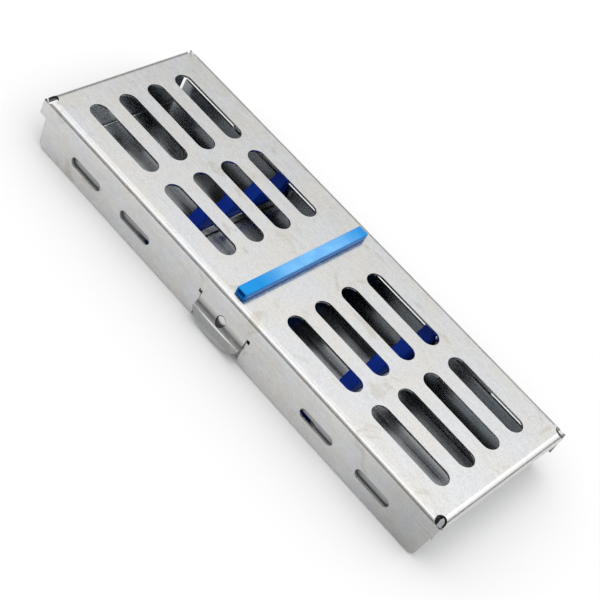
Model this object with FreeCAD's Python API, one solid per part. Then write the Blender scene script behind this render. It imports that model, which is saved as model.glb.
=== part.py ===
import FreeCAD, Part
import math
import os

# Instrument cassette: a folded steel lid on a folded steel tray, hinged along the back,
# closed by a spring tongue over a button, with silicone racks that hold five instruments.
# Millimetres. X runs along the instruments, -Y is the latch side, +Z is up.
# The origin is on the rest face, under the middle instrument.

# Sheet steel
sheet = 0.8
fold_radius = 2.4              # outside radius of the lid's folds
tray_fold_radius = 1.6         # outside radius of the tray's folds

# Lid
lid_length = 181.0
lid_width = 65.2
lid_setback = 1.1              # the lid's middle sits this far behind the middle instrument
closed_height = 18.0
end_flange_depth = 3.0
end_flange_inset = 1.8         # from the lid's front and back faces
back_flange_depth = 10.6
hinge_notch_depth = 8.6        # of the back flange where a hinge's lower leaf passes under it
hinge_notch_gap = 0.8          # beside the leaf
relief_radius = 2.0            # round relief where two folds meet
relief_depth = 0.2
relief_inset = 1.8

# Front skirt
skirt_gap = 0.4                # under the skirt's lower edge
shoulder_drop = 6.8            # height of the full-length strip at the top of the skirt
strip_inset = 0.4
shoulder_inset = 2.2           # from the lid's ends
foot_inset = 3.1
foot_corner_radius = 2.3
lower_shift = 1.2              # the tray, its racks and the skirt sit this far towards +X

# Instruments and the lid's slots
instrument_pitch = 12.5
instrument_count = 5
lid_slot_length = 31.06
lid_slot_width = 6.75
inner_slot_station = 28.8
outer_slot_station = 65.85

# Slots in the skirt and the tray, all cut with one punch
punch_length = 14.0
punch_width = 3.6
skirt_slot_height = 7.4
inner_skirt_station = 42.15
outer_skirt_station = 66.3
wall_slot_station = 35.0
wall_slot_height = 4.6

# Latch tongue, cut free from the skirt and pressed outwards
latch_middle = 0.3
tongue_half = 10.2
tongue_root = 11.1
tongue_slit = 0.3
root_notch = 1.4
root_gap = 0.15
tongue_root_run = 0.4          # straight sheet below the root, before the curve
tongue_curve_radius = 6.0
tongue_curve_angle = 40.0
tongue_flare = 0.9
lip_fold_radius = 1.0
lip_end = 0.85
lip_curve_top = 6.0
latch_hole_height = 8.2
latch_hole_radius = 1.95

# Tray
tray_front_clearance = 0.5     # between the tray's walls and the inside of the lid
tray_back_clearance = 1.0
tray_end_inset = 3.4           # from the lid's ends to the ends of the tray's walls
tray_front_height = 8.6
tray_back_height = 7.7
end_wall_setback = 0.8         # from the ends of the tray's other walls
end_wall_inset = 4.8
end_wall_height = 13.0
end_wall_corner_radius = 1.0
catch_tab_half = 8.0
catch_tab_height = 11.4
catch_tab_radius = 2.5

# Catch button, riveted through the tray's front wall
button_radius = 1.6
button_height = 1.6
button_edge = 0.7              # straight rim under the dome
shank_radius = 1.0
shank_clearance = 0.05
rivet_head_radius = 1.7
rivet_head_height = 0.6

# Hinges on the back
hinge_end_inset = 40.0         # from the lid's ends to the hinges' middles
hinge_width = 25.0
hinge_sheet = 0.8
hinge_pin_radius = 0.95
hinge_running_clearance = 0.05
knuckle_gap = 0.3
lid_leaf_height = 6.5
tray_leaf_foot = 1.9
pin_head_radius = 1.35
pin_head_height = 0.5
pin_head_gap = 0.1

# Hold-down strip, a silicone extrusion pulled through the lid
hold_down_front_inset = 2.9
hold_down_back_inset = 5.5
hold_down_head_width = 4.6
hold_down_top_width = 3.5
hold_down_height = 2.8
neck_width = 2.6
neck_height = 0.7
neck_inset = 1.8
hollow_wall = 0.75
cushion_width = 8.0
cushion_height = 3.0
cushion_radius = 1.5

# Instrument racks and the channels that hold them
rack_station = 35.8
rack_thickness = 4.7
rack_top = 13.0
rack_wall_gap = 0.5
notch_apex = 7.1
notch_angle = 49.5             # of the notch's sides, from level
notch_bottom_radius = 1.0
channel_sheet = 0.8
channel_height = 4.2
channel_end_inset = 0.6
channel_fold_radius = 1.2
rack_foot_clearance = 0.05     # between the comb's rounded foot and the channel's folds

# Worked out from the sizes above
lid_half = lid_length / 2
lid_front = lid_width / 2 - lid_setback
lid_back = lid_width / 2 + lid_setback
lid_inside = closed_height - sheet
shoulder_half = lid_half - shoulder_inset
foot_half = lid_half - foot_inset
tray_half = lid_half - tray_end_inset
hinge_half_span = lid_half - hinge_end_inset
end_flange_front = lid_front - end_flange_inset
end_flange_back = lid_back - end_flange_inset
tray_front = lid_front - sheet - tray_front_clearance
tray_back = lid_back - sheet - tray_back_clearance
hold_down_front = lid_front - hold_down_front_inset
hold_down_back = lid_back - hold_down_back_inset
slot_rows = [side * station for side in (-1, 1) for station in (inner_slot_station, outer_slot_station)]
instrument_lines = [(i - (instrument_count - 1) / 2) * instrument_pitch for i in range(instrument_count)]
gap_lines = [(a + b) / 2 for a, b in zip(instrument_lines, instrument_lines[1:])]
hinge_axis_height = closed_height / 2
knuckle_bore = hinge_pin_radius + hinge_running_clearance
knuckle_radius = knuckle_bore + hinge_sheet
hinge_axis_back = lid_back + knuckle_radius
channel_width = rack_thickness + 2 * channel_sheet
rack_foot_radius = channel_fold_radius - channel_sheet + rack_foot_clearance


def face_from(points, plane):
    """A flat face from a closed list of corners; plane turns a pair of numbers into a point."""
    corners = [plane(a, b) for a, b in points]
    return Part.Face(Part.makePolygon(corners + corners[:1]))


def across(a, b):
    """A point of a section across the cassette, from y and z."""
    return FreeCAD.Vector(0, a, b)


def along(a, b):
    """A point of a section along the cassette, from x and z."""
    return FreeCAD.Vector(a, 0, b)


def shifted(path, distance):
    """The corners of a path of straight runs, moved to its left by a distance."""
    normals = []
    for (a, b), (c, d) in zip(path, path[1:]):
        run = math.hypot(c - a, d - b)
        normals.append(((b - d) / run, (c - a) / run))
    joints = [normals[0]] + list(zip(normals, normals[1:])) + [normals[-1]]
    moved = []
    for i, (a, b) in enumerate(path):
        if i in (0, len(path) - 1):
            moved.append((a + joints[i][0] * distance, b + joints[i][1] * distance))
            continue
        (ax, ay), (bx, by) = joints[i]
        mitre = distance / (1 + ax * bx + ay * by)
        moved.append((a + (ax + bx) * mitre, b + (ay + by) * mitre))
    return moved


def left_turn(a, b, c):
    """Whether a path turns left at its middle point."""
    return (b[0] - a[0]) * (c[1] - b[1]) - (b[1] - a[1]) * (c[0] - b[0]) > 0


def rounded_edges(path, radii, plane):
    """Edges along a path of straight runs, with a round fold at each inner corner."""
    edges = []
    start = path[0]
    for before, corner, after, radius in zip(path, path[1:], path[2:], radii):
        run_in = math.hypot(corner[0] - before[0], corner[1] - before[1])
        run_out = math.hypot(after[0] - corner[0], after[1] - corner[1])
        u = ((before[0] - corner[0]) / run_in, (before[1] - corner[1]) / run_in)
        v = ((after[0] - corner[0]) / run_out, (after[1] - corner[1]) / run_out)
        half = math.acos(u[0] * v[0] + u[1] * v[1]) / 2
        back = radius / math.tan(half)
        middle = (u[0] + v[0], u[1] + v[1])
        length = math.hypot(*middle)
        bulge = radius / math.sin(half) - radius
        begin = (corner[0] + u[0] * back, corner[1] + u[1] * back)
        end = (corner[0] + v[0] * back, corner[1] + v[1] * back)
        top = (corner[0] + middle[0] / length * bulge, corner[1] + middle[1] / length * bulge)
        edges.append(Part.LineSegment(plane(*start), plane(*begin)).toShape())
        edges.append(Part.Arc(plane(*begin), plane(*top), plane(*end)).toShape())
        start = end
    edges.append(Part.LineSegment(plane(*start), plane(*path[-1])).toShape())
    return edges


def folded_section(path, radii, thickness, plane):
    """Section of a folded sheet. The path is one face, with its fold radii; the sheet lies on its left."""
    other = shifted(path, thickness)
    turns = [left_turn(*corners) for corners in zip(path, path[1:], path[2:])]
    other_radii = [r - thickness if left else r + thickness for r, left in zip(radii, turns)]
    first = rounded_edges(path, radii, plane)
    second = rounded_edges(other[::-1], other_radii[::-1], plane)
    caps = [Part.LineSegment(plane(*path[-1]), plane(*other[-1])).toShape()]
    caps.append(Part.LineSegment(plane(*other[0]), plane(*path[0])).toShape())
    wire = Part.Wire(Part.__sortEdges__(first + second + caps))
    return Part.Face(wire)


def along_x(face, start, end):
    """A section across the cassette, drawn out along X."""
    body = face.extrude(FreeCAD.Vector(end - start, 0, 0))
    body.translate(FreeCAD.Vector(start, 0, 0))
    return body


def along_y(face, start, end):
    """A section along the cassette, drawn out along Y."""
    body = face.extrude(FreeCAD.Vector(0, end - start, 0))
    body.translate(FreeCAD.Vector(0, start, 0))
    return body


def box(x0, x1, y0, y1, z0, z1):
    """A box between two corners."""
    return Part.makeBox(x1 - x0, y1 - y0, z1 - z0, FreeCAD.Vector(x0, y0, z0))


def cylinder(radius, start, end):
    """A round bar from one point to another."""
    axis = end - start
    return Part.makeCylinder(radius, axis.Length, start, axis)


def slot_punch(length, width, thickness):
    """A round-ended punch, long side along X, standing on Z, with its middle at the origin."""
    straight = (length - width) / 2
    radius = width / 2
    corners = [FreeCAD.Vector(-straight, -radius, 0), FreeCAD.Vector(straight, -radius, 0),
               FreeCAD.Vector(straight, radius, 0), FreeCAD.Vector(-straight, radius, 0)]
    right_end = FreeCAD.Vector(straight + radius, 0, 0)
    left_end = FreeCAD.Vector(-straight - radius, 0, 0)
    edges = [Part.LineSegment(corners[0], corners[1]).toShape(),
             Part.Arc(corners[1], right_end, corners[2]).toShape(),
             Part.LineSegment(corners[2], corners[3]).toShape(),
             Part.Arc(corners[3], left_end, corners[0]).toShape()]
    body = Part.Face(Part.Wire(edges)).extrude(FreeCAD.Vector(0, 0, thickness))
    body.translate(FreeCAD.Vector(0, 0, -thickness / 2))
    return body


def placed(shape, x, y, z, upright=False):
    """A copy of a shape moved to a place, first turned to face the front if upright."""
    copy = shape.copy()
    if upright:
        copy.rotate(FreeCAD.Vector(0, 0, 0), FreeCAD.Vector(1, 0, 0), 90)
    copy.translate(FreeCAD.Vector(x, y, z))
    return copy


def lid_section():
    """Front skirt, top and back flange in one fold line."""
    path = [(lid_back, closed_height - back_flange_depth), (lid_back, closed_height),
            (-lid_front, closed_height), (-lid_front, skirt_gap)]
    return folded_section(path, [fold_radius, fold_radius], sheet, across)


def end_flange(side):
    """The short fold at one end of the lid, with a stretch of the top."""
    path = [(side * lid_half, closed_height - end_flange_depth), (side * lid_half, closed_height),
            (side * (lid_half - 2 * fold_radius), closed_height)]
    section = folded_section(path, [fold_radius], side * sheet, along)
    return along_y(section, -end_flange_front, end_flange_back)


def skirt_outline():
    """Everything to keep of the front skirt: a full strip, a shoulder and a tapered foot."""
    shoulder = closed_height - shoulder_drop
    strip = lid_half - strip_inset
    foot = [(lower_shift - shoulder_half, shoulder), (lower_shift - foot_half, skirt_gap),
            (lower_shift + foot_half, skirt_gap), (lower_shift + shoulder_half, shoulder)]
    radii = [foot_corner_radius, foot_corner_radius]
    edges = rounded_edges(foot, radii, along)
    edges.append(Part.LineSegment(along(*foot[-1]), along(*foot[0])).toShape())
    lower = Part.Face(Part.Wire(edges))
    corners = [(-strip, shoulder), (strip, shoulder), (strip, closed_height), (-strip, closed_height)]
    upper = face_from(corners, along)
    depth = fold_radius + sheet
    return along_y(lower, -lid_front, depth - lid_front).fuse(along_y(upper, -lid_front, depth - lid_front))


def tongue_window():
    """The space that the latch tongue is cut from, with a square relief at each root corner."""
    half = tongue_half + tongue_slit
    deep = fold_radius + sheet
    y0 = -lid_front - deep
    y1 = -lid_front + deep
    cut = box(latch_middle - half, latch_middle + half, y0, y1, -deep, tongue_root)
    for side in (-1, 1):
        edge = latch_middle + side * half
        x0, x1 = sorted((edge - side * tongue_slit, edge + side * (root_notch - tongue_slit)))
        cut = cut.fuse(box(x0, x1, y0, y1, tongue_root - root_notch, tongue_root))
    return cut


def hinge_notch(middle):
    """The space cut from the back flange over one hinge's lower leaf."""
    half = hinge_width / 2 + hinge_notch_gap
    top = closed_height - hinge_notch_depth
    return box(middle - half, middle + half, lid_back - 2 * sheet, lid_back + sheet, 0, top)


def lid_shell():
    """The lid: one sheet folded down on four sides, with its slots and corner reliefs."""
    body = along_x(lid_section(), -lid_half, lid_half)
    front_reach = lid_front - fold_radius
    back_reach = lid_back - fold_radius
    depth = fold_radius + sheet
    skirt_zone = box(-lid_half, lid_half, -lid_front, depth - lid_front, 0, closed_height)
    skirt = body.common(skirt_outline())
    body = body.cut(skirt_zone).fuse(skirt)
    strip = lid_half - strip_inset
    keep = lid_half - fold_radius
    for side in (-1, 1):
        x0, x1 = sorted((side * keep, side * lid_length))
        body = body.cut(box(x0, x1, -front_reach, back_reach, 0, lid_length))
        x0, x1 = sorted((side * strip, side * lid_length))
        body = body.cut(box(x0, x1, back_reach, lid_length, 0, lid_length))
        body = body.fuse(end_flange(side))
        for y in (relief_inset - lid_front, lid_back - relief_inset):
            centre = FreeCAD.Vector(side * (lid_half - relief_inset), y, closed_height - relief_depth)
            body = body.cut(Part.makeSphere(relief_radius, centre))
    top_punch = slot_punch(lid_slot_length, lid_slot_width, 4 * sheet)
    cuts = [placed(top_punch, x, y, closed_height) for x in slot_rows for y in gap_lines]
    side_punch = slot_punch(punch_length, punch_width, 4 * sheet)
    for station in (inner_skirt_station, outer_skirt_station):
        for side in (-1, 1):
            x = lower_shift + side * station
            cuts.append(placed(side_punch, x, -lid_front, skirt_slot_height, upright=True))
    neck_front = neck_inset - hold_down_front
    neck_back = hold_down_back - neck_inset
    cuts.append(box(-neck_width / 2, neck_width / 2, neck_front, neck_back, 0, 2 * closed_height))
    cuts.append(tongue_window())
    cuts.extend(hinge_notch(lower_shift + side * hinge_half_span) for side in (-1, 1))
    return body.cut(Part.makeCompound(cuts)).removeSplitter()


def tongue_path():
    """Outer face of the tongue from its root to its lip, across the cassette."""
    angle = math.radians(tongue_curve_angle)
    y = -lid_front
    top = tongue_root - root_gap - sheet / 2
    reach = tongue_curve_radius * math.tan(angle / 2)
    corner = (y, top - tongue_root_run - reach)
    out = reach + tongue_flare
    crease = (y - out * math.sin(angle), corner[1] - out * math.cos(angle))
    return [(y, top), corner, crease, (crease[0], lip_end)]


def latch_tongue():
    """The spring tongue: curved outwards, creased, and hanging down as a round lip with a hole."""
    path = tongue_path()
    section = folded_section(path, [tongue_curve_radius, lip_fold_radius], sheet, across)
    body = along_x(section, latch_middle - tongue_half, latch_middle + tongue_half)
    root_height = path[0][1]
    root = cylinder(sheet / 2, FreeCAD.Vector(latch_middle - tongue_half, sheet / 2 - lid_front, root_height),
                    FreeCAD.Vector(latch_middle + tongue_half, sheet / 2 - lid_front, root_height))
    body = body.fuse(root)
    drop = lip_curve_top - lip_end
    centre = FreeCAD.Vector(latch_middle, 0, lip_curve_top)
    wide = FreeCAD.Vector(tongue_half, 0, 0)
    low = FreeCAD.Vector(0, 0, drop)
    ellipse = Part.Ellipse(centre + wide, centre - low, centre)
    round_end = Part.Face(Part.Wire(ellipse.toShape()))
    left = latch_middle - tongue_half
    right = latch_middle + tongue_half
    corners = [(left, lip_curve_top), (right, lip_curve_top), (right, closed_height), (left, closed_height)]
    straight = face_from(corners, along)
    keep = along_y(round_end, -2 * lid_front, 0).fuse(along_y(straight, -2 * lid_front, 0))
    hole = cylinder(latch_hole_radius, FreeCAD.Vector(latch_middle, -2 * lid_front, latch_hole_height),
                    FreeCAD.Vector(latch_middle, 0, latch_hole_height))
    return body.common(keep).cut(hole).removeSplitter()


def end_wall(side):
    """The tab folded up from one end of the tray's floor, with round upper corners."""
    face = lower_shift + side * (tray_half - end_wall_setback)
    path = [(face, end_wall_height), (face, 0), (face - side * 2 * tray_fold_radius, 0)]
    section = folded_section(path, [tray_fold_radius], -side * sheet, along)
    wall = along_y(section, end_wall_inset - tray_front, tray_back - end_wall_inset)
    corners = [e for e in wall.Edges if e.BoundBox.ZMin > end_wall_height - sheet / 2
               and e.BoundBox.XLength > sheet / 2]
    return wall.makeFillet(end_wall_corner_radius, corners)


def base_tray():
    """The tray: a shallow folded channel with slots in its front and floor, end walls and the catch tab."""
    x0 = lower_shift - tray_half
    x1 = lower_shift + tray_half
    path = [(-tray_front, tray_front_height), (-tray_front, 0), (tray_back, 0), (tray_back, tray_back_height)]
    body = along_x(folded_section(path, [tray_fold_radius, tray_fold_radius], sheet, across), x0, x1)
    floor_front = tray_fold_radius - tray_front
    floor_back = tray_back - tray_fold_radius
    for side in (-1, 1):
        end = lower_shift + side * (tray_half - end_wall_setback - tray_fold_radius)
        a, b = sorted((end, end + side * tray_half))
        body = body.cut(box(a, b, floor_front, floor_back, -sheet, sheet)).fuse(end_wall(side))
    tab = box(latch_middle - catch_tab_half, latch_middle + catch_tab_half, -tray_front, sheet - tray_front,
              tray_front_height - sheet, catch_tab_height)
    corners = [e for e in tab.Edges if e.BoundBox.ZMin > tray_front_height and e.BoundBox.YLength > sheet / 2]
    corners = [e for e in corners if e.BoundBox.XLength < sheet / 2]
    body = body.fuse(tab.makeFillet(catch_tab_radius, corners))
    punch = slot_punch(punch_length, punch_width, 4 * sheet)
    cuts = []
    for side in (-1, 1):
        x = lower_shift + side * wall_slot_station
        cuts.append(placed(punch, x, -tray_front, wall_slot_height, upright=True))
    cuts.extend(placed(punch, lower_shift, y, 0) for y in gap_lines)
    cuts.append(cylinder(shank_radius + shank_clearance,
                         FreeCAD.Vector(latch_middle, -lid_front, latch_hole_height),
                         FreeCAD.Vector(latch_middle, 0, latch_hole_height)))
    return body.cut(Part.makeCompound(cuts)).removeSplitter()


def latch_button():
    """The domed catch, riveted over inside the wall."""
    wall = -tray_front
    inner = sheet - tray_front

    def on_axis(y):
        return FreeCAD.Vector(latch_middle, y, latch_hole_height)

    cap = button_height - button_edge
    ball_radius = (button_radius ** 2 + cap ** 2) / (2 * cap)
    ball = Part.makeSphere(ball_radius, on_axis(wall - button_height + ball_radius))
    dome = cylinder(button_radius, on_axis(wall), on_axis(wall - button_height)).common(ball)
    shank = cylinder(shank_radius, on_axis(wall), on_axis(inner))
    head = cylinder(rivet_head_radius, on_axis(inner), on_axis(inner + rivet_head_height))
    rim = [e for e in head.Edges if e.BoundBox.YMin > inner + rivet_head_height / 2]
    head = head.makeFillet(rivet_head_height / 2, rim)
    return dome.fuse([shank, head]).removeSplitter()


def knuckle_spans(middle):
    """The three stretches of a hinge along X: tray, lid, tray."""
    width = (hinge_width - 2 * knuckle_gap) / 3
    starts = [middle - hinge_width / 2 + i * (width + knuckle_gap) for i in range(3)]
    return [(start, start + width) for start in starts]


def knuckle(start, end):
    """One rolled knuckle round the pin."""
    a = FreeCAD.Vector(start, hinge_axis_back, hinge_axis_height)
    b = FreeCAD.Vector(end, hinge_axis_back, hinge_axis_height)
    return cylinder(knuckle_radius, a, b), cylinder(knuckle_bore, a, b)


def lid_hinge_leaf(middle):
    """The hinge's upper leaf, on the lid's back flange, with one knuckle."""
    start, end = knuckle_spans(middle)[1]
    outer, bore = knuckle(start, end)
    face = lid_back + hinge_sheet
    half = hinge_width / 2
    foot = hinge_axis_height + knuckle_radius + knuckle_gap
    plate = box(middle - half, middle + half, lid_back, face, foot, foot + lid_leaf_height - knuckle_radius)
    strap = box(start, end, lid_back, face, hinge_axis_height, foot)
    return plate.fuse([strap, outer]).cut(bore).removeSplitter()


def tray_hinge_leaf(middle):
    """The hinge's lower leaf, on the tray's back wall, turned out under its two knuckles."""
    spans = knuckle_spans(middle)
    under = hinge_axis_height - knuckle_radius
    flat = under + hinge_sheet
    path = [(tray_back, tray_leaf_foot), (tray_back, flat), (hinge_axis_back, flat)]
    section = folded_section(path, [2 * hinge_sheet], -hinge_sheet, across)
    half = hinge_width / 2
    leaf = along_x(section, middle - half, middle + half)
    for (start, end) in (spans[0], spans[2]):
        outer, bore = knuckle(start, end)
        leaf = leaf.fuse(outer).cut(bore)
    start, end = spans[1]
    notch = box(start - knuckle_gap, end + knuckle_gap, tray_back + hinge_sheet, lid_length,
                tray_leaf_foot, closed_height)
    return leaf.cut(notch).removeSplitter()


def hinge_pin(middle):
    """A pin through the three knuckles, headed over at both ends."""
    reach = hinge_width / 2 + pin_head_gap
    a = FreeCAD.Vector(middle - reach - pin_head_height, hinge_axis_back, hinge_axis_height)
    b = FreeCAD.Vector(middle + reach + pin_head_height, hinge_axis_back, hinge_axis_height)
    step = FreeCAD.Vector(pin_head_height, 0, 0)
    pin = cylinder(hinge_pin_radius, a, b)
    return pin.fuse([cylinder(pin_head_radius, a, a + step), cylinder(pin_head_radius, b - step, b)])


def hold_down_strip():
    """The silicone strip: a hollow head over the lid, a neck through it and a cushion under it."""
    neck_top = closed_height + neck_height
    head_top = closed_height + hold_down_height
    half_top = hold_down_top_width / 2
    half_head = hold_down_head_width / 2
    slope = half_head - half_top
    outline = [(-half_top, neck_top), (half_top, neck_top), (half_head, neck_top + slope),
               (half_head, head_top - slope), (half_top, head_top), (-half_top, head_top),
               (-half_head, head_top - slope), (-half_head, neck_top + slope)]
    head = along_y(face_from(outline, along), -hold_down_front, hold_down_back)
    inside = half_head - hollow_wall
    hollow = box(-inside, inside, -lid_front, lid_back, neck_top + hollow_wall, head_top - hollow_wall)
    neck_front = neck_inset - hold_down_front
    neck_back = hold_down_back - neck_inset
    neck = box(-neck_width / 2, neck_width / 2, neck_front, neck_back, lid_inside, neck_top)
    cushion = box(-cushion_width / 2, cushion_width / 2, neck_front, neck_back,
                  lid_inside - cushion_height, lid_inside)
    rims = [e for e in cushion.Edges if e.BoundBox.YLength > cushion_width
            and e.BoundBox.ZMax < lid_inside - cushion_height / 2]
    cushion = cushion.makeFillet(cushion_radius, rims)
    return head.cut(hollow).fuse([neck, cushion]).removeSplitter()


def notch_punch():
    """A V punch with a round tip, drawn out along X, for one instrument's notch."""
    slope = math.tan(math.radians(notch_angle))
    top = 2 * rack_top
    reach = (top - notch_apex) / slope
    path = [(-reach, top), (0, notch_apex), (reach, top)]
    edges = rounded_edges(path, [notch_bottom_radius], across)
    edges.append(Part.LineSegment(across(*path[-1]), across(*path[0])).toShape())
    return along_x(Part.Face(Part.Wire(edges)), -rack_thickness, rack_thickness)


def instrument_rack(middle):
    """One silicone comb with a V notch on each instrument's line, standing in its channel."""
    half = rack_thickness / 2
    body = box(middle - half, middle + half, sheet + rack_wall_gap - tray_front,
               tray_back - sheet - rack_wall_gap, sheet + channel_sheet, rack_top)
    foot = [e for e in body.Edges if e.BoundBox.YLength > rack_thickness and e.BoundBox.ZMax < notch_apex]
    body = body.makeFillet(rack_foot_radius, foot)
    punch = notch_punch()
    return body.cut(Part.makeCompound([placed(punch, middle, y, 0) for y in instrument_lines]))


def rack_channel(middle):
    """The folded steel channel under one comb, welded to the tray's floor."""
    half = channel_width / 2
    top = sheet + channel_height
    path = [(middle - half, top), (middle - half, sheet), (middle + half, sheet), (middle + half, top)]
    section = folded_section(path, [channel_fold_radius, channel_fold_radius], channel_sheet, along)
    inset = rack_wall_gap + channel_end_inset
    return along_y(section, sheet + inset - tray_front, tray_back - sheet - inset)


def main():
    """Write each piece to its own file."""
    os.makedirs("parts", exist_ok=True)
    pieces = {"lid_shell": lid_shell(), "latch_tongue": latch_tongue(), "base_tray": base_tray(),
              "latch_button": latch_button(), "hold_down_strip": hold_down_strip()}
    for name, side in (("far", -1), ("near", 1)):
        station = lower_shift + side * rack_station
        pieces["instrument_rack_" + name] = instrument_rack(station)
        pieces["rack_channel_" + name] = rack_channel(station)
        hinge = lower_shift + side * hinge_half_span
        pieces["lid_hinge_leaf_" + name] = lid_hinge_leaf(hinge)
        pieces["tray_hinge_leaf_" + name] = tray_hinge_leaf(hinge)
        pieces["hinge_pin_" + name] = hinge_pin(hinge)
    for name, shape in pieces.items():
        shape.exportStep("parts/" + name + ".step")
        box_size = shape.BoundBox
        print(name, shape.isValid(), len(shape.Solids), round(shape.Volume, 1),
              [round(v, 2) for v in (box_size.XMin, box_size.XMax, box_size.YMin, box_size.YMax,
                                     box_size.ZMin, box_size.ZMax)])


main()
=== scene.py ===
import math

import bmesh
import bpy
import numpy as np
from bpy.props import FloatProperty, FloatVectorProperty, PointerProperty
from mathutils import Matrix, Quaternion, Vector


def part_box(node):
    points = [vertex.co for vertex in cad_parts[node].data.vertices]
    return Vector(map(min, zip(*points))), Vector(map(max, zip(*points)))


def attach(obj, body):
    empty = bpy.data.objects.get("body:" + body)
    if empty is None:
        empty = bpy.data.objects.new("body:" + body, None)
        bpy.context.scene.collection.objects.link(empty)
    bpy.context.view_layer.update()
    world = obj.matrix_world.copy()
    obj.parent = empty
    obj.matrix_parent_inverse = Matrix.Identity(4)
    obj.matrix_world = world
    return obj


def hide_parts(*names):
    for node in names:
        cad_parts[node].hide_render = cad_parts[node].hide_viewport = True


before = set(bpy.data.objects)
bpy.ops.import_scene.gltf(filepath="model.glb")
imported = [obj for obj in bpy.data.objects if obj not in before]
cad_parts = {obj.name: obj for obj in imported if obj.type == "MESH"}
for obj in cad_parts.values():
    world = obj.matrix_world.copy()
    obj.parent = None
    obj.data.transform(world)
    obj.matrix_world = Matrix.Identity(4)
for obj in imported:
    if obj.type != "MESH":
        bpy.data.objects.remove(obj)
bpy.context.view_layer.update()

bl_info = {
    "name": "Instrument Cassette",
    "version": (1, 0, 0),
    "blender": (4, 5, 0),
    "location": "View3D > Sidebar > Cassette",
    "description": "Dresses a slotted steel instrument cassette and sets it on a white studio floor",
    "category": "Add Mesh",
}

MM = 0.001
SIDES = ("far", "near")
INSTRUMENT_PITCH = 12.5 * MM
NOTCH_ANGLE = 49.5
NOTCH_APEX = 7.1 * MM

# Directions of the studio's bright areas, as mirrors see them
WINDOW = (0.41, 0.70, 0.58)
OVERHEAD = (-0.25, -0.40, 0.88)

# Settings of the nodes that are used most
SMOOTH = {"interpolation_type": "SMOOTHSTEP"}
TIMES = {"operation": "MULTIPLY"}
LESS = {"operation": "SUBTRACT"}
SIZE_OF = {"operation": "ABSOLUTE"}


def colour(code):
    """An sRGB hex value as linear red, green, blue and alpha."""
    channels = [int(code[i:i + 2], 16) / 255 for i in (1, 3, 5)]
    return tuple(c / 12.92 if c <= 0.04045 else ((c + 0.055) / 1.055) ** 2.4 for c in channels) + (1.0,)


def colour_property(name, code, description):
    """A colour that can be set in the panel."""
    return FloatVectorProperty(name=name, description=description, subtype="COLOR", size=4, min=0, max=1,
                               default=colour(code))


def length_property(name, millimetres, description):
    """A length in metres, given here in millimetres."""
    return FloatProperty(name=name, description=description, unit="LENGTH", precision=5,
                         default=millimetres * MM)


class CassetteSteel(bpy.types.PropertyGroup):
    """Colours and edges of the sheet steel."""

    cool_colour: colour_property("Lid, cool", "#CDCED0", "Brushed outside of the lid, bluish clouds")
    warm_colour: colour_property("Lid, warm", "#CECDCA", "Brushed outside of the lid, yellowish clouds")
    # Painted shade: the reliefs' walls are dark to stand in for the shade inside the holes
    burr_colour: colour_property("Reliefs", "#3A3A36", "Oxide inside the punched corner reliefs")
    mark_colour: colour_property("Water marks", "#B4AE9C", "Dried water on the lid")
    inside_colour: colour_property("Inside", "#A6AAAE", "Rolled inside of the lid and the tray")
    # Painted shade: this darker colour of the plate's underside stands in for the shade inside the closed box
    underside_colour: colour_property("Underside", "#5E6164", "Tarnished underside of the lid's plate")
    wall_colour: colour_property("Tray front", "#B8B9BB", "Pickled outside of the tray's front wall")
    hinge_colour: colour_property("Hinges", "#B4B4B1", "Tumbled hinge leaves")
    bright_colour: colour_property("Bright steel", "#D6D6D4", "Turned pins and the catch button")
    edge_round: length_property("Edge round", 0.14, "Round left on a cut edge by deburring")
    grain_width: length_property("Grain width", 0.22, "Width of a brush line")
    grain_length: length_property("Grain length", 9.0, "Length of a brush line")
    fold_line: length_property("Fold line", 12.2, "Height of the line that the folding tool left")


class CassetteLatch(bpy.types.PropertyGroup):
    """Sizes of the spring tongue and the button behind it."""

    middle: length_property("Middle", 0.3, "Place of the tongue along the skirt")
    half_width: length_property("Half width", 10.2, "Half the tongue's width")
    root: length_property("Root", 11.1, "Height at which the tongue leaves the skirt")
    curve_top: length_property("Curve top", 10.6, "Height at which the outward curve starts")
    curve_radius: length_property("Curve radius", 8.6, "Radius of the outward curve")
    crease_height: length_property("Crease", 5.65, "Height of the crease above the lip")
    lip_face: length_property("Lip face", -33.46, "Where the lip's outer face stands")
    hole_radius: length_property("Hole radius", 1.95, "Half height of the hole over the button")
    hole_width: length_property("Hole width", 1.85, "Half width of the hole over the button")
    hole_height: length_property("Hole height", 8.2, "Height of the hole over the rest face")


class CassetteSilicone(bpy.types.PropertyGroup):
    """Colours and sizes of the silicone pieces."""

    strip_colour: colour_property("Strip", "#1090DC", "Sky blue of the hold-down strip")
    bloom_colour: colour_property("Strip, bloom", "#8CCBFA", "Paler middle of the hold-down strip")
    rack_colour: colour_property("Racks", "#003CB4", "Ultramarine of the racks")
    rack_round: length_property("Rack round", 0.5, "Round along the racks' upper edges")
    rack_foot: length_property("Rack foot", 0.45, "Round along the racks' lower edges")
    strip_round: length_property("Strip round", 0.16, "Round along the strip's edges")
    strip_wall: length_property("Strip wall", 0.5, "Wall of the strip's hollow head")


class CassetteStage(bpy.types.PropertyGroup):
    """Camera, lamps and floor."""

    floor_colour: colour_property("Floor", "#F4F4F4", "White studio floor")
    lens: FloatProperty(name="Lens", description="Focal length", unit="CAMERA", default=91.103)
    roll: FloatProperty(name="Roll", description="Turn of the camera about its own axis", subtype="ANGLE",
                        default=math.radians(30.8285))


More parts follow.
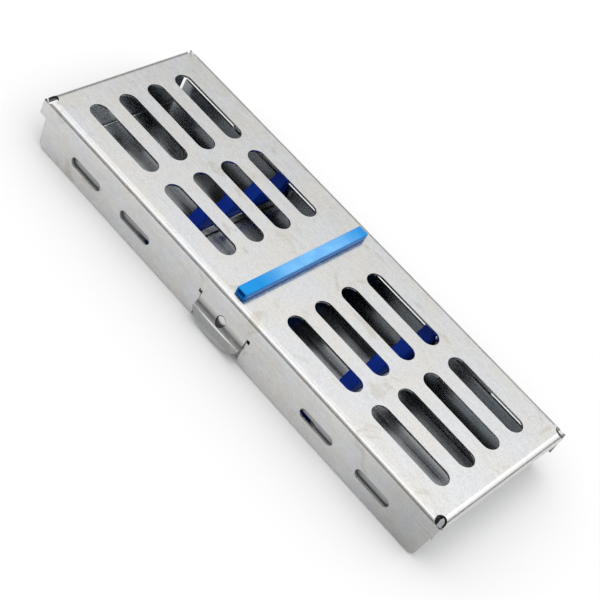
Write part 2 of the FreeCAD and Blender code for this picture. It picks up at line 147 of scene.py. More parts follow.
def node(tree, kind, inputs=(), **settings):
    """Adds one node. Its inputs go by number in a tuple, or by name in a dictionary. Each is a value, a socket
    or another node, which stands for its first live output."""
    made = tree.nodes.new("ShaderNode" + kind)
    for key, value in settings.items():
        setattr(made, key, value)
    for key, value in inputs.items() if isinstance(inputs, dict) else enumerate(inputs):
        if isinstance(key, str):
            key = next(i for i, socket in enumerate(made.inputs) if socket.enabled and socket.name == key)
        if isinstance(value, bpy.types.Node):
            value = next(socket for socket in value.outputs if socket.enabled)
        if isinstance(value, bpy.types.NodeSocket):
            tree.links.new(value, made.inputs[key])
        else:
            made.inputs[key].default_value = value
    return made


def new_material(name):
    """A material with an empty node tree."""
    material = bpy.data.materials.new(name)
    material.use_nodes = True
    material.node_tree.nodes.clear()
    return material, material.node_tree


def stretched_noise(tree, width, length, detail=2.0, seed=0.0, distortion=0.0):
    """Noise in object space whose features are as wide and as long, along X, as the given lengths."""
    place = node(tree, "TexCoord").outputs["Object"]
    spread = node(tree, "Mapping", {"Vector": place, "Location": (seed, seed, seed),
                                    "Scale": (1 / length, 1 / width, 1 / width)})
    return node(tree, "TexNoise", {"Vector": spread, "Scale": 1.0, "Detail": detail, "Distortion": distortion})


def product(tree, factors):
    """Numbers multiplied together, one after the other."""
    result = factors[0]
    for factor in factors[1:]:
        result = node(tree, "Math", (result, factor), **TIMES)
    return result


def folding_shades(tree, settings):
    """Shades of the lid that follow its folds: the line that the folding tool left along the skirt, painted
    shade that darkens the front skirt towards its near end, where it mirrors shaded floor and has a few smears,
    and a fine line along the foot of the front fold. Each is one less a darkness in its band."""
    place = node(tree, "SeparateXYZ", (node(tree, "TexCoord").outputs["Object"],))
    x, y, height = (place.outputs[axis] for axis in "XYZ")
    from_line = node(tree, "Math", (node(tree, "Math", (height, settings.fold_line), **LESS), 0.0), **SIZE_OF)
    line = node(tree, "MapRange", (from_line, 0.05 * MM, 0.16 * MM, 0.90, 1.0), **SMOOTH)
    front = node(tree, "MapRange", (y, -31.3 * MM, -30.9 * MM, 1.0, 0.0), **SMOOTH)
    # Painted shade: the front skirt darkens towards its near end, standing in for the darker floor that it
    # mirrors there, with some real smears too
    grime = node(tree, "MapRange", (x, 48 * MM, 90 * MM, 0.0, 0.32), **SMOOTH)
    near_end = node(tree, "Math", (1.0, product(tree, [front, grime])), **LESS)
    from_crest = node(tree, "Math", (node(tree, "Math", (y, 30.2 * MM)), 0.0), **SIZE_OF)
    on_top = node(tree, "MapRange", (height, 16.5 * MM, 16.8 * MM, 0.0, 1.0), **SMOOTH)
    crest = node(tree, "MapRange", (from_crest, 0.05 * MM, 0.14 * MM, 0.16, 0.0), **SMOOTH)
    crest_line = node(tree, "Math", (1.0, product(tree, [crest, on_top])), **LESS)
    return [line, near_end, crest_line]


def spring_stain(tree):
    """Painted shade on the spring tongue: darkest where it curves out under the hole, light at the crease, and
    an even darker tone on the lip. Each band is the lighter or the darker of two steps over the height."""
    height = node(tree, "SeparateXYZ", (node(tree, "TexCoord").outputs["Object"],)).outputs["Z"]
    above = node(tree, "MapRange", (height, 7.5 * MM, 9.9 * MM, 0.50, 1.0), **SMOOTH)
    below = node(tree, "MapRange", (height, 6.9 * MM, 7.7 * MM, 0.85, 0.50), **SMOOTH)
    crease = node(tree, "MapRange", (height, 5.55 * MM, 5.85 * MM, 0.56, 1.0), **SMOOTH)
    rim = node(tree, "MapRange", (height, 1.5 * MM, 3.5 * MM, 0.72, 0.56), **SMOOTH)
    hollow = node(tree, "Math", (above, below), operation="MAXIMUM")
    lip = node(tree, "Math", (crease, rim), operation="MAXIMUM")
    return node(tree, "Math", (hollow, lip), operation="MINIMUM")


def brushed_stainless(name, settings, spring=False):
    """Stainless sheet, belt brushed along its length: satin, with fine lines that stretch each highlight, a
    mottle from handling, cool and warm clouds and a few pale rings of dried water. Brush lines of a belt's grit
    are too fine to show, so they are drawn 0.22 mm wide. The folds' shades add painted shade towards the skirt's
    near end, and with spring the tongue gets painted shade over its curve and lip."""
    material, tree = new_material(name)
    grain = stretched_noise(tree, settings.grain_width, settings.grain_length, detail=3.0)
    speck = stretched_noise(tree, 0.35 * MM, 0.55 * MM, seed=3.1)
    mottle = stretched_noise(tree, 1.6 * MM, 2.4 * MM, detail=3.0, seed=6.2)
    cloud = stretched_noise(tree, 9 * MM, 12 * MM, seed=4.4)
    patch = stretched_noise(tree, 9 * MM, 12 * MM, detail=4.0, seed=8.1, distortion=1.4)
    marks = node(tree, "MapRange", (patch, 0.60, 0.70, 0.0, 0.45), **SMOOTH)
    clouds = node(tree, "MapRange", (cloud, 0.35, 0.65, 0.0, 1.0), **SMOOTH)
    metal = node(tree, "Mix", data_type="RGBA", inputs={
        "Factor": clouds, "A": settings.warm_colour, "B": settings.cool_colour})
    tint = node(tree, "Mix", data_type="RGBA", inputs={"Factor": marks, "A": metal, "B": settings.mark_colour})
    shade = product(tree, [
        node(tree, "MapRange", (grain, 0.3, 0.7, 0.95, 1.04), **SMOOTH),
        node(tree, "MapRange", (mottle, 0.3, 0.7, 0.96, 1.03), **SMOOTH),
        node(tree, "MapRange", (speck, 0.3, 0.7, 0.93, 1.05), **SMOOTH),
        *folding_shades(tree, settings), *([spring_stain(tree)] if spring else [])])
    grey = node(tree, "CombineXYZ", (shade, shade, shade))
    shaded = node(tree, "VectorMath", (tint, grey), **TIMES)
    rough = node(tree, "Math", (node(tree, "MapRange", (grain, 0.3, 0.7, 0.17, 0.25), **SMOOTH),
                                node(tree, "MapRange", (mottle, 0.4, 0.7, 0.0, 0.06), **SMOOTH)))
    bump = node(tree, "Bump", {"Height": grain, "Distance": 0.02 * MM, "Strength": 0.3})
    shader = node(tree, "BsdfPrincipled", {
        "Base Color": shaded, "Metallic": 1.0, "Roughness": rough, "Normal": bump})
    node(tree, "OutputMaterial", {"Surface": shader})
    return material


def rolled_stainless(name, tone, roughness, settings):
    """Stainless sheet as it leaves the mill: a dull mirror with faint rolling lines and small smears."""
    material, tree = new_material(name)
    lines = stretched_noise(tree, 1.2 * MM, 60 * MM, detail=3.0, seed=1.9)
    smear = stretched_noise(tree, 8 * MM, 12 * MM, detail=3.0, seed=5.3)
    smears = node(tree, "MapRange", (smear, 0.4, 0.7, 0.0, 0.25), **SMOOTH)
    tint = node(tree, "Mix", data_type="RGBA", inputs={"Factor": smears, "A": tone, "B": settings.hinge_colour})
    lined = node(tree, "MapRange", (lines, 0.3, 0.7, roughness - 0.04, roughness + 0.05), **SMOOTH)
    smeared = node(tree, "MapRange", (smear, 0.4, 0.7, 0.0, 0.08), **SMOOTH)
    rough = node(tree, "Math", (lined, smeared))
    bump = node(tree, "Bump", {"Height": lines, "Distance": 0.02 * MM, "Strength": 0.25})
    shader = node(tree, "BsdfPrincipled", {
        "Base Color": tint, "Metallic": 1.0, "Roughness": rough, "Normal": bump})
    node(tree, "OutputMaterial", {"Surface": shader})
    return material


def strip_bloom(tree, tone, tint, cloud, bloom):
    """The hold-down strip's tint: its middle paler than its ends, in a band about a line 4 mm behind the origin,
    and painted shade that keeps its sides darker than its top."""
    place = node(tree, "SeparateXYZ", (node(tree, "TexCoord").outputs["Object"],))
    along, height = place.outputs["Y"], place.outputs["Z"]
    away = node(tree, "Math", (node(tree, "Math", (along, 4 * MM), **LESS), 0.0), **SIZE_OF)
    pale = product(tree, [node(tree, "MapRange", (away, 9 * MM, 26 * MM, 0.75, 0.0), **SMOOTH),
                          node(tree, "MapRange", (cloud, 0.3, 0.7, 0.7, 1.0), **SMOOTH)])
    bloomed = node(tree, "Mix", data_type="RGBA", inputs={"Factor": pale, "A": tint, "B": bloom})
    # Painted shade: the strip's sides are darker than its top
    deep = (tone[0] * 0.2, tone[1] * 0.5, tone[2] * 0.65, 1.0)
    top = node(tree, "MapRange", (height, 20.45 * MM, 20.7 * MM, 0.0, 1.0), **SMOOTH)
    return node(tree, "Mix", data_type="RGBA", inputs={"Factor": top, "A": deep, "B": bloomed})


def silicone(name, tone, roughness, bloom=None):
    """Extruded silicone rubber: even and slightly waxy, with a soft sheen and die lines."""
    material, tree = new_material(name)
    lines = stretched_noise(tree, 0.5 * MM, 0.5 * MM, seed=2.4)
    cloud = stretched_noise(tree, 6 * MM, 6 * MM, seed=7.7)
    darker = (tone[0] * 0.85, tone[1] * 0.88, tone[2] * 0.92, 1.0)
    clouds = node(tree, "MapRange", (cloud, 0.35, 0.65, 0.0, 1.0), **SMOOTH)
    tint = node(tree, "Mix", data_type="RGBA", inputs={"Factor": clouds, "A": darker, "B": tone})
    # The strip gets a paler middle and painted shade on its sides
    if bloom:
        tint = strip_bloom(tree, tone, tint, cloud, bloom)
    rough = node(tree, "MapRange", (lines, 0.3, 0.7, roughness - 0.05, roughness + 0.08), **SMOOTH)
    bump = node(tree, "Bump", {"Height": lines, "Distance": 0.02 * MM, "Strength": 0.2})
    shader = node(tree, "BsdfPrincipled", {
        "Base Color": tint, "Roughness": rough, "IOR": 1.41, "Specular IOR Level": 0.2, "Normal": bump})
    node(tree, "OutputMaterial", {"Surface": shader})
    return material


def oxidised_steel(settings):
    """Steel inside a punched relief, painted dark and dull as shade, standing in for the dark inside of the
    hole.
    """
    material, tree = new_material("oxidised_relief_steel")
    speck = stretched_noise(tree, 0.3 * MM, 0.3 * MM, seed=1.2)
    rough = node(tree, "MapRange", (speck, 0.3, 0.7, 0.35, 0.6), **SMOOTH)
    shader = node(tree, "BsdfPrincipled", {
        "Base Color": settings.burr_colour, "Metallic": 1.0, "Roughness": rough})
    node(tree, "OutputMaterial", {"Surface": shader})
    return material


def cassette_materials():
    """Every material of the cassette, made once."""
    if "brushed_stainless_sheet" not in bpy.data.materials:
        scene = bpy.context.scene
        steel = scene.cassette_steel
        rubber = scene.cassette_silicone
        brushed_stainless("brushed_stainless_sheet", steel)
        # The tongue's copy adds painted shade over its curve and lip
        brushed_stainless("brushed_stainless_spring", steel, spring=True)
        rolled_stainless("rolled_stainless_sheet", steel.inside_colour, 0.19, steel)
        # Painted shade: the plate's underside is darker to stand in for the shade inside the closed box
        rolled_stainless("tarnished_stainless_underside", steel.underside_colour, 0.30, steel)
        rolled_stainless("pickled_stainless_wall", steel.wall_colour, 0.62, steel)
        rolled_stainless("tumbled_stainless_leaf", steel.hinge_colour, 0.36, steel)
        rolled_stainless("turned_stainless_rod", steel.bright_colour, 0.20, steel)
        # Painted shade for the walls of the corner reliefs
        oxidised_steel(steel)
        silicone("sky_silicone_extrusion", rubber.strip_colour, 0.38, rubber.bloom_colour)
        silicone("ultramarine_silicone_comb", rubber.rack_colour, 0.42)
    return bpy.data.materials


def grid_faces(rows, columns, wrap_rows=False, wrap_columns=False):
    """Corner numbers of the four-sided faces of a grid of points, row by row."""
    last_row = rows if wrap_rows else rows - 1
    last_column = columns if wrap_columns else columns - 1
    i, j = np.meshgrid(np.arange(last_row), np.arange(last_column), indexing="ij")
    down = (i + 1) % rows
    right = (j + 1) % columns
    return np.stack([i * columns + j, down * columns + j, down * columns + right, i * columns + right],
                    axis=-1).reshape(-1, 4)


def piece_from(name, vertices, faces, material):
    """A smooth mesh piece from arrays of points and faces, with its faces turned outwards."""
    mesh = bpy.data.meshes.new(name)
    mesh.from_pydata(np.asarray(vertices, float).reshape(-1, 3).tolist(), [], [list(f) for f in faces])
    mesh.materials.append(material)
    shape = bmesh.new()
    shape.from_mesh(mesh)
    bmesh.ops.remove_doubles(shape, verts=shape.verts, dist=1e-7)
    bmesh.ops.recalc_face_normals(shape, faces=shape.faces)
    shape.to_mesh(mesh)
    shape.free()
    mesh.polygons.foreach_set("use_smooth", np.ones(len(mesh.polygons), bool))
    piece = bpy.data.objects.new(name, mesh)
    bpy.context.scene.collection.objects.link(piece)
    return piece


def soften(piece, width, angle=30.0, segments=2):
    """Rounds a piece's sharp edges and evens its shading."""
    rounding = piece.modifiers.new("edge round", "BEVEL")
    rounding.width = width
    rounding.segments = segments
    rounding.limit_method = "ANGLE"
    rounding.angle_limit = math.radians(angle)
    shading = piece.modifiers.new("even shading", "WEIGHTED_NORMAL")
    shading.keep_sharp = False
    return piece


def sheet_copy(part, name, material, width, keep_sharp=None):
    """A folded sheet piece: the part's own shape, joined up, with deburred edges.
    keep_sharp takes an edge's middle and says whether the edge stays sharp."""
    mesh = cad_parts[part].data.copy()
    mesh.name = name
    shape = bmesh.new()
    shape.from_mesh(mesh)
    bmesh.ops.remove_doubles(shape, verts=shape.verts, dist=2e-6)
    bmesh.ops.dissolve_limit(shape, angle_limit=math.radians(0.5), verts=shape.verts, edges=shape.edges)
    weights = shape.edges.layers.float.new("bevel_weight_edge")
    limit = math.radians(30)
    for edge in shape.edges:
        sharp = len(edge.link_faces) == 2 and edge.calc_face_angle() > limit
        if sharp and not (keep_sharp and keep_sharp((edge.verts[0].co + edge.verts[1].co) / 2)):
            edge[weights] = 1.0
    shape.to_mesh(mesh)
    shape.free()
    mesh.materials.clear()
    mesh.materials.append(material)
    mesh.polygons.foreach_set("use_smooth", np.ones(len(mesh.polygons), bool))
    piece = bpy.data.objects.new(name, mesh)
    bpy.context.scene.collection.objects.link(piece)
    soften(piece, width)
    piece.modifiers["edge round"].limit_method = "WEIGHT"
    return piece


def repaint(piece, material, choose):
    """Gives faces a further material. choose takes the faces' middles, their normals and the numbers of their
    present materials, as arrays, and says which faces change."""
    mesh = piece.data
    mesh.materials.append(material)
    count = len(mesh.polygons)
    middles, normals, numbers = np.zeros(count * 3), np.zeros(count * 3), np.zeros(count, int)
    mesh.polygons.foreach_get("center", middles)
    mesh.polygons.foreach_get("normal", normals)
    mesh.polygons.foreach_get("material_index", numbers)
    chosen = choose(middles.reshape(-1, 3), normals.reshape(-1, 3), numbers)
    mesh.polygons.foreach_set("material_index", np.where(chosen, len(mesh.materials) - 1, numbers))


def settle(piece, body, slot, *replaced):
    """Puts a piece on its body and hides the parts that it stands for; slot is not used."""
    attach(piece, body)
    if replaced:
        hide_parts(*replaced)
    return piece


def turned(name, profile, start, along, material, steps=48):
    """A round piece: a profile of distances along an axis and radii, turned about that axis."""
    axis = Vector(along).normalized()
    side = axis.orthogonal().normalized()
    other = axis.cross(side)
    angles = np.linspace(0, 2 * np.pi, steps, endpoint=False)
    ring = np.cos(angles)[:, None] * np.array(side) + np.sin(angles)[:, None] * np.array(other)
    distance = np.array([p[0] for p in profile])
    radius = np.array([p[1] for p in profile])
    points = (np.array(start) + distance[:, None, None] * np.array(axis) + radius[:, None, None] * ring[None])
    faces = grid_faces(len(profile), steps, wrap_columns=True).tolist()
    return piece_from(name, points, faces, material)


def dome_profile(radius, rim, height, steps=10):
    """Half of a domed button's outline: up a straight rim, then over a quarter of an ellipse to the axis."""
    turn = np.linspace(0, np.pi / 2, steps)
    cap = height - rim
    return [(0.0, 0.0), (0.0, radius)] + [(rim + cap * math.sin(a), radius * math.cos(a)) for a in turn]


def tongue_face(height, settings, back):
    """How far forward the tongue's outer face stands at each height: flat at the root, then a long curve that
    leans out ever more, a short steep run, a tight crease and an upright lip."""
    lean = math.radians(35)
    steep = math.radians(58)
    steep_step = 0.045 * MM
    crease_step = 0.022 * MM
    arc = np.linspace(0, lean, 40)
    y = list(back - settings.curve_radius * (1 - np.cos(arc)))
    z = list(settings.curve_top - settings.curve_radius * np.sin(arc))
    turn = np.concatenate([np.linspace(lean, steep, 10)[1:], np.linspace(steep, 0, 16)[1:]])
    run = np.concatenate([np.full(9, steep_step), np.full(15, crease_step)])
    y += list(y[-1] - np.cumsum(run * np.sin(turn)))
    z += list(z[-1] - np.cumsum(run * np.cos(turn)))
    y, z = np.array(y), np.array(z)
    y = back + (y - back) * (settings.lip_face - back) / (y[-1] - back)
    z = settings.curve_top + (z - settings.curve_top) * (
        settings.crease_height - settings.curve_top) / (z[-1] - settings.curve_top)
    return np.interp(height, z[::-1], y[::-1])


def latch_tongue_piece(settings, material, edge_round):
    """The spring tongue on a polar grid about its hole: each ray runs from the hole, an ellipse, to the outline,
    which is straight at the root and the sides and half an ellipse below, and each point is then laid on the
    curved face. The inner face stands one sheet behind, square to the outer one."""
    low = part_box("latch_tongue")[0]
    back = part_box("lid_shell")[0].y
    sheet = 0.8 * MM
    lip_curve_top = 6.0 * MM
    drop = lip_curve_top - low.z
    half = settings.half_width
    hole_z = settings.hole_height
    corners = [math.atan2(settings.root - hole_z, side * half) for side in (1, -1)]
    corners += [math.atan2(lip_curve_top - hole_z, side * half) for side in (1, -1)]
    angles = np.unique(np.concatenate([np.linspace(-np.pi, np.pi, 240, endpoint=False), corners]))
    c, s = np.cos(angles), np.sin(angles)
    with np.errstate(divide="ignore", invalid="ignore"):
        to_side = half / np.abs(c)
        to_top = np.where(s > 0, (settings.root - hole_z) / s, np.inf)
    a = (c / half) ** 2 + (s / drop) ** 2
    b = 2 * s * (hole_z - lip_curve_top) / drop ** 2
    k = ((hole_z - lip_curve_top) / drop) ** 2 - 1
    to_curve = (-b + np.sqrt(b * b - 4 * a * k)) / (2 * a)
    side_height = hole_z + to_side * s
    reach = np.where(side_height >= lip_curve_top - 1e-9, np.minimum(to_side, to_top), to_curve)
    rays = np.linspace(0, 1, 110)
    hole = settings.hole_radius / np.sqrt((c * settings.hole_radius / settings.hole_width) ** 2 + s ** 2)
    distance = hole[None] + (reach - hole)[None] * rays[:, None]
    x = settings.middle + distance * c[None]
    z = hole_z + distance * s[None]
    y = tongue_face(z, settings, back)
    step = 1e-5
    slope = (tongue_face(z + step, settings, back) - tongue_face(z - step, settings, back)) / (2 * step)
    norm = np.sqrt(1 + slope ** 2)
    outer = np.stack([x, y, z], axis=-1)
    inner = np.stack([x, y + sheet / norm, z - sheet * slope / norm], axis=-1)
    points = np.concatenate([outer, inner[::-1]])
    faces = grid_faces(len(points), len(angles), wrap_rows=True, wrap_columns=True)
    piece = piece_from("latch_tongue_sheet", points, faces, material)
    soften(piece, edge_round, angle=50)
    return piece


def hold_down_section(settings, shrink=0.0):
    """Outline of the strip's head in X and Z: a box with sloped shoulders, and a short curve at each corner."""
    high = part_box("hold_down_strip")[1]
    neck_top = 18.08 * MM
    half_head = 2.0 * MM
    half_top = 1.82 * MM
    aside = 0.12 * MM
    slope = half_head - half_top
    corners = np.array([(-half_top, neck_top), (half_top, neck_top), (half_head, neck_top + slope),
                        (half_head, high.z - slope), (half_top, high.z), (-half_top, high.z),
                        (-half_head, high.z - slope), (-half_head, neck_top + slope)])
    corners[:, 0] += aside
    centre = corners.mean(0)
    return rounded_loop(corners, settings.strip_round, centre, shrink)


def rounded_loop(corners, radius, centre, shrink, steps=6):
    """A closed loop with each corner replaced by a short curve, drawn in towards its centre by a length."""
    points = []
    count = len(corners)
    for i in range(count):
        before, corner, after = corners[i - 1], corners[i], corners[(i + 1) % count]
        u = (before - corner) / np.linalg.norm(before - corner)
        v = (after - corner) / np.linalg.norm(after - corner)
        for t in np.linspace(0, 1, steps):
            points.append(corner + u * radius * (1 - t) ** 2 + v * radius * t ** 2)
    points = np.array(points)
    half = np.abs(points - centre).max(0)
    return centre + (points - centre) * (1 - shrink / half)


def swept_loops(name, loops, material, wrap=False):
    """A piece made of closed loops of equal length joined in order, with its ends closed or wrapped."""
    points = np.array(loops)
    count = points.shape[1]
    faces = grid_faces(len(loops), count, wrap_rows=wrap, wrap_columns=True).tolist()
    if not wrap:
        faces.append(list(range(count)))
        faces.append([(len(loops) - 1) * count + i for i in range(count)][::-1])
    return piece_from(name, points, faces, material)


def at_y(loop, y):
    """A loop of X and Z placed at one Y."""
    return np.stack([loop[:, 0], np.full(len(loop), y), loop[:, 1]], axis=1)


def hold_down_head(settings, material):
    """The strip's hollow head: the outline runs along Y, turns in over each end and runs back inside."""
    low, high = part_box("hold_down_strip")
    outer = hold_down_section(settings)
    ease = 0.08 * MM
    eased = hold_down_section(settings, ease)
    inner = hold_down_section(settings, settings.strip_wall)
    stations = np.linspace(low.y + ease, high.y - ease, 60)
    loops = [at_y(eased, low.y)] + [at_y(outer, y) for y in stations] + [at_y(eased, high.y)]
    loops += [at_y(inner, high.y)] + [at_y(inner, y) for y in stations[::-1]] + [at_y(inner, low.y)]
    return swept_loops("hold_down_head", loops, material, wrap=True)


def hold_down_foot(settings, material):
    """The strip's neck and the cushion under the lid: a T section with a rounded underside, run along Y."""
    low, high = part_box("hold_down_strip")
    neck = 1.28 * MM
    inset = 1.85 * MM
    lid_inside = 17.18 * MM
    head = 18.95 * MM
    half = 3.95 * MM
    round_steps = np.linspace(0, np.pi / 2, 8)
    radius = 1.5 * MM
    right = [(half - radius + radius * math.cos(a), low.z + radius - radius * math.sin(a)) for a in round_steps]
    outline = [(-neck, head), (neck, head), (neck, lid_inside), (half, lid_inside)] + right
    outline += [(-x, z) for x, z in right[::-1]] + [(-half, lid_inside), (-neck, lid_inside)]
    loop = np.array(outline)
    stations = np.linspace(low.y + inset, high.y - inset, 24)
    return swept_loops("hold_down_foot", [at_y(loop, y) for y in stations], material)


def rack_height(y, apex, top, lines):
    """Height of a rack's comb: a V over the nearest instrument's line, rounded at its tip and where it meets
    the flat tops of the posts. Each round is a hyperbola between its two straight runs."""
    slope = math.tan(math.radians(NOTCH_ANGLE))
    nearest = np.min(np.abs(y[:, None] - lines[None]), axis=1)
    tip = 0.55 * MM
    flank = apex + np.sqrt((slope * nearest) ** 2 + tip ** 2)
    blend = 0.35 * MM
    gap = flank - top
    return (flank + top - np.sqrt(gap ** 2 + blend ** 2)) / 2


def rack_piece(side, settings, material):
    """One silicone comb: the loop of its section, rounded at its feet and upper edges, follows its height."""
    low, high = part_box("instrument_rack_" + side)
    middle = (low.x + high.x) / 2
    half = (high.x - low.x) / 2
    lines = np.arange(-2, 3) * INSTRUMENT_PITCH
    y = np.linspace(low.y, high.y, 420)
    height = rack_height(y, NOTCH_APEX, high.z, lines)
    r = settings.rack_round
    foot = settings.rack_foot
    arc = np.linspace(0, np.pi / 2, 6)
    toe = -half + foot * (1 - np.sin(arc))
    across = np.concatenate([toe, -half + r * (1 - np.cos(arc)), half - r * (1 - np.sin(arc)), -toe[::-1]])
    below = np.concatenate([r * (1 - np.sin(arc)), r * (1 - np.cos(arc))])
    sole = np.broadcast_to(low.z + foot * (1 - np.cos(arc)), (len(y), len(arc)))
    z = np.concatenate([sole, height[:, None] - below[None], sole[:, ::-1]], axis=1)
    x = np.broadcast_to(middle + across, z.shape)
    points = np.stack([x, np.broadcast_to(y[:, None], z.shape), z], axis=-1)
    return swept_loops("rack_comb_" + side, list(points), material)


class CASSETTE_OT_lid(bpy.types.Operator):
    """Lid sheet with deburred edges"""

    bl_idname = "cassette.lid"
    bl_label = "Lid"

    def execute(self, context):
        settings = context.scene.cassette_steel
        materials = cassette_materials()
        latch = context.scene.cassette_latch

        behind_skirt = -30.0 * MM
        plate_underside = 16.9 * MM

        def at_root(place):
            level = abs(place.z - latch.root) < 0.02 * MM
            return level and abs(place.x - latch.middle) < latch.half_width and place.y < behind_skirt

        brushed = materials["brushed_stainless_sheet"]
        lid = sheet_copy("lid_shell", "lid_sheet", brushed, settings.edge_round, at_root)
        low, high = (np.array(corner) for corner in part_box("lid_shell"))
        half_sheet = 0.425 * MM
        relief_radius = 2.0 * MM
        relief_inset = 1.8 * MM
        relief_height = 17.8 * MM

        def inside(middles, normals, numbers):
            facing = (((low + high) / 2 - middles) * normals).sum(1) > 0
            return facing & ((middles > low + half_sheet) & (middles < high - half_sheet)).all(1)

        def underside(middles, normals, numbers):
            return (numbers == 1) & (normals[:, 2] < -0.9) & (middles[:, 2] > plate_underside)

        def front_reliefs(middles, normals, numbers):
            centres = np.array([(x, low[1] + relief_inset, relief_height)
                                for x in (low[0] + relief_inset, high[0] - relief_inset)])
            reach = np.linalg.norm(middles[:, None] - centres[None], axis=2)
            return (np.abs(reach - relief_radius) < 0.12 * relief_radius).any(1)

        repaint(lid, materials["rolled_stainless_sheet"], inside)
        # The underside gets painted shade, darker than the sheet, for the shade inside the closed box
        repaint(lid, materials["tarnished_stainless_underside"], underside)
        # The relief walls get painted shade, dark like the inside of the hole
        repaint(lid, materials["oxidised_relief_steel"], front_reliefs)
        settle(lid, "lid", "lid_steel", "lid_shell")
        return {"FINISHED"}


class CASSETTE_OT_tray(bpy.types.Operator):
    """Tray and rack channels"""

    bl_idname = "cassette.tray"
    bl_label = "Tray"

    def execute(self, context):
        settings = context.scene.cassette_steel
        materials = cassette_materials()
        steel = materials["rolled_stainless_sheet"]
        tray = sheet_copy("base_tray", "tray_sheet", steel, settings.edge_round)
        behind_wall = -30.1 * MM

        def front_of_wall(middles, normals, numbers):
            return (normals[:, 1] < -0.9) & (middles[:, 1] < behind_wall)

        repaint(tray, materials["pickled_stainless_wall"], front_of_wall)
        settle(tray, "tray", "tray_steel", "base_tray")
        for side in SIDES:
            part = "rack_channel_" + side
            channel = sheet_copy(part, "channel_sheet_" + side, steel, settings.edge_round)
            settle(channel, "tray", "tray_steel", part)
        return {"FINISHED"}


class CASSETTE_OT_latch(bpy.types.Operator):
    """Spring tongue and catch button"""

    bl_idname = "cassette.latch"
    bl_label = "Latch"

    def execute(self, context):
        latch = context.scene.cassette_latch
        materials = cassette_materials()
        edge_round = context.scene.cassette_steel.edge_round
        tongue = latch_tongue_piece(latch, materials["brushed_stainless_spring"], edge_round)
        settle(tongue, "latch", "lid_steel", "latch_tongue")
        low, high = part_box("latch_button")
        height = 1.6 * MM
        radius = 1.7 * MM
        shank = 1.0 * MM
        dome = dome_profile(radius, 1.3 * MM, height)
        rivet = dome_profile(radius, 0.25 * MM, 0.6 * MM)
        length = high.y - low.y
        profile = [(length - d, r) for d, r in rivet[::-1]] + [(height, shank)]
        profile += [(height - d, r) for d, r in dome[1:]]
        button = turned("catch_button", profile, (latch.middle, low.y, latch.hole_height), (0, 1, 0),
                        materials["turned_stainless_rod"])
        settle(button, "tray", "bright_steel", "latch_button")
        return {"FINISHED"}


class CASSETTE_OT_silicone(bpy.types.Operator):
    """Hold-down strip and instrument racks"""

    bl_idname = "cassette.silicone"
    bl_label = "Silicone"

    def execute(self, context):
        settings = context.scene.cassette_silicone
        materials = cassette_materials()
        sky = materials["sky_silicone_extrusion"]
        settle(hold_down_head(settings, sky), "lid", "silicone_sky", "hold_down_strip")
        settle(hold_down_foot(settings, sky), "lid", "silicone_sky", "hold_down_strip")
        for side in SIDES:
            comb = rack_piece(side, settings, materials["ultramarine_silicone_comb"])
            settle(comb, "tray", "silicone_ultramarine", "instrument_rack_" + side)
        return {"FINISHED"}


class CASSETTE_OT_hinges(bpy.types.Operator):
    """Hinge leaves and pins"""

    bl_idname = "cassette.hinges"
    bl_label = "Hinges"

    def execute(self, context):
        settings = context.scene.cassette_steel
        materials = cassette_materials()
        leaf = materials["tumbled_stainless_leaf"]
        rod = materials["turned_stainless_rod"]
        for side in SIDES:
            for body in ("lid", "tray"):
                part = body + "_hinge_leaf_" + side
                settle(sheet_copy(part, part + "_sheet", leaf, settings.edge_round), body, "hinge_steel", part)
            low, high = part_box("hinge_pin_" + side)
            length = high.x - low.x
            thick = 0.5 * MM
            shaft = 0.95 * MM
            head = dome_profile(1.35 * MM, thick / 2, thick)
            profile = [(thick - d, r) for d, r in head[::-1]]
            profile += [(thick, shaft), (length - thick, shaft)]
            profile += [(length - thick + d, r) for d, r in head]
            start = (low.x, (low.y + high.y) / 2, (low.z + high.z) / 2)
            pin = turned("hinge_rod_" + side, profile, start, (1, 0, 0), rod, steps=32)
            settle(pin, "tray", "bright_steel", "hinge_pin_" + side)
        return {"FINISHED"}


def aim(thing, place, target, roll=0.0):
    """Places a camera or lamp and points it at a target, then turns it about its own axis."""
    thing.location = place
    turn = (Vector(target) - Vector(place)).to_track_quat("-Z", "Y")
    thing.rotation_euler = (turn @ Quaternion((0, 0, 1), roll)).to_euler()


def add_lamp(name, place, target, size, power):
    """A square soft box. Mirrors see the studio instead of it."""
    lamp = bpy.data.lights.new(name, "AREA")
    lamp.shape = "SQUARE"
    lamp.size = size
    lamp.energy = power
    holder = bpy.data.objects.new(name, lamp)
    bpy.context.scene.collection.objects.link(holder)
    holder.visible_glossy = False
    aim(holder, place, target)
    return holder


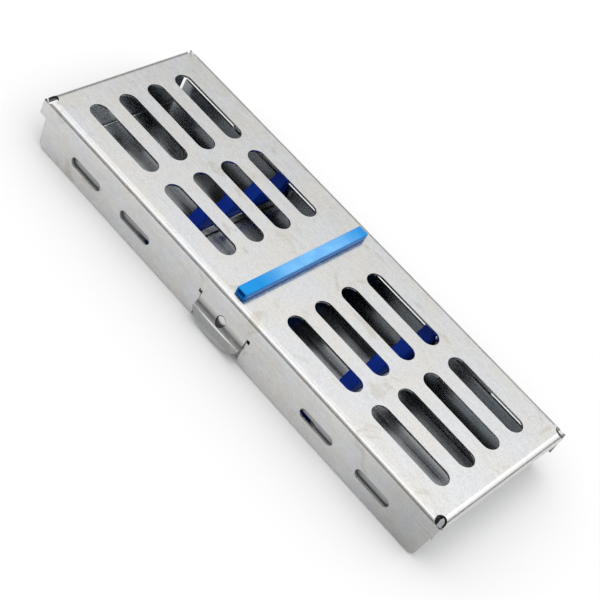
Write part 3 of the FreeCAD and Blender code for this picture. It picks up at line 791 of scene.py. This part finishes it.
def studio_world():
    """Light from all round: white to the camera, strong on matt surfaces, and in mirrors brighter overhead."""
    world = bpy.data.worlds.new("studio_light")
    bpy.context.scene.world = world
    world.use_nodes = True
    tree = world.node_tree
    tree.nodes.clear()
    path = node(tree, "LightPath")
    direction = node(tree, "TexCoord").outputs["Generated"]
    height = node(tree, "SeparateXYZ", (direction,)).outputs["Z"]
    room = node(tree, "MapRange", (height, 0.0, 0.62, 0.18, 0.66), **SMOOTH)
    ceiling = node(tree, "MapRange", (height, 0.54, 0.73, 0.0, 0.75), **SMOOTH)
    to_window = node(tree, "VectorMath", (direction, WINDOW), operation="DOT_PRODUCT")
    window = node(tree, "MapRange", (to_window, 0.86, 0.95, 0.0, 0.8), **SMOOTH)
    to_box = node(tree, "VectorMath", (direction, OVERHEAD), operation="DOT_PRODUCT")
    box = node(tree, "MapRange", (to_box, 0.93, 0.98, 0.0, 0.35), **SMOOTH)
    mirrored = node(tree, "Math", (node(tree, "Math", (room, ceiling)), node(tree, "Math", (window, box))))
    matt = node(tree, "Mix", {"Factor": path.outputs["Is Diffuse Ray"], "A": mirrored, "B": 1.0})
    strength = node(tree, "Mix", {"Factor": path.outputs["Is Camera Ray"], "A": matt, "B": 1.0})
    light = node(tree, "Background", {"Color": (1, 1, 1, 1), "Strength": strength})
    node(tree, "OutputWorld", {"Surface": light})


def white_floor(settings):
    """A matt white sheet of paper, lit until it is just white away from the cassette."""
    material, tree = new_material("white_studio_paper")
    node(tree, "OutputMaterial", {"Surface": node(tree, "BsdfDiffuse", {"Color": settings.floor_colour})})
    reach = 3.0
    steps = np.linspace(-reach, reach, 5)
    x, y = np.meshgrid(steps, steps, indexing="ij")
    points = np.stack([x, y, np.zeros_like(x)], axis=-1)
    floor = piece_from("studio_floor", points, grid_faces(5, 5), material)


class CASSETTE_OT_stage(bpy.types.Operator):
    """Camera, lamps, world and floor"""

    bl_idname = "cassette.stage"
    bl_label = "Stage"

    def execute(self, context):
        settings = context.scene.cassette_stage
        camera = bpy.data.cameras.new("camera")
        camera.lens = settings.lens
        camera.sensor_width = 36.0
        camera.clip_start = 0.01
        holder = bpy.data.objects.new("camera", camera)
        context.scene.collection.objects.link(holder)
        place = Vector((138.547, -317.824, 331.189)) * MM
        target = Vector((10.0745, -11.2731, 18.0)) * MM
        aim(holder, place, target, settings.roll)
        context.scene.camera = holder
        white_floor(settings)
        studio_world()
        add_lamp("overhead_box", (-0.14, 0.10, 0.95), (0, 0, 0), 0.5, 1.2)
        context.scene.view_settings.view_transform = "Standard"
        return {"FINISHED"}


class CASSETTE_PT_panel(bpy.types.Panel):
    """Buttons for each group of pieces"""

    bl_label = "Instrument Cassette"
    bl_idname = "CASSETTE_PT_panel"
    bl_space_type = "VIEW_3D"
    bl_region_type = "UI"
    bl_category = "Cassette"

    def draw(self, context):
        for step in STEPS:
            self.layout.operator(step.bl_idname)


STEPS = (CASSETTE_OT_lid, CASSETTE_OT_tray, CASSETTE_OT_latch, CASSETTE_OT_silicone, CASSETTE_OT_hinges,
         CASSETTE_OT_stage)
GROUPS = {"cassette_steel": CassetteSteel, "cassette_latch": CassetteLatch,
          "cassette_silicone": CassetteSilicone, "cassette_stage": CassetteStage}


def register():
    """Registers the settings, the operators and the panel."""
    for group in GROUPS.values():
        bpy.utils.register_class(group)
    for name, group in GROUPS.items():
        setattr(bpy.types.Scene, name, PointerProperty(type=group))
    for step in STEPS:
        bpy.utils.register_class(step)
    bpy.utils.register_class(CASSETTE_PT_panel)


def unregister():
    """Takes them out again."""
    bpy.utils.unregister_class(CASSETTE_PT_panel)
    for step in reversed(STEPS):
        bpy.utils.unregister_class(step)
    for name, group in GROUPS.items():
        delattr(bpy.types.Scene, name)
        bpy.utils.unregister_class(group)


def main():
    """Builds everything in order."""
    register()
    for name in ("lid", "tray", "latch", "silicone", "hinges", "stage"):
        getattr(bpy.ops.cassette, name)()


if __name__ == "__main__":
    main()
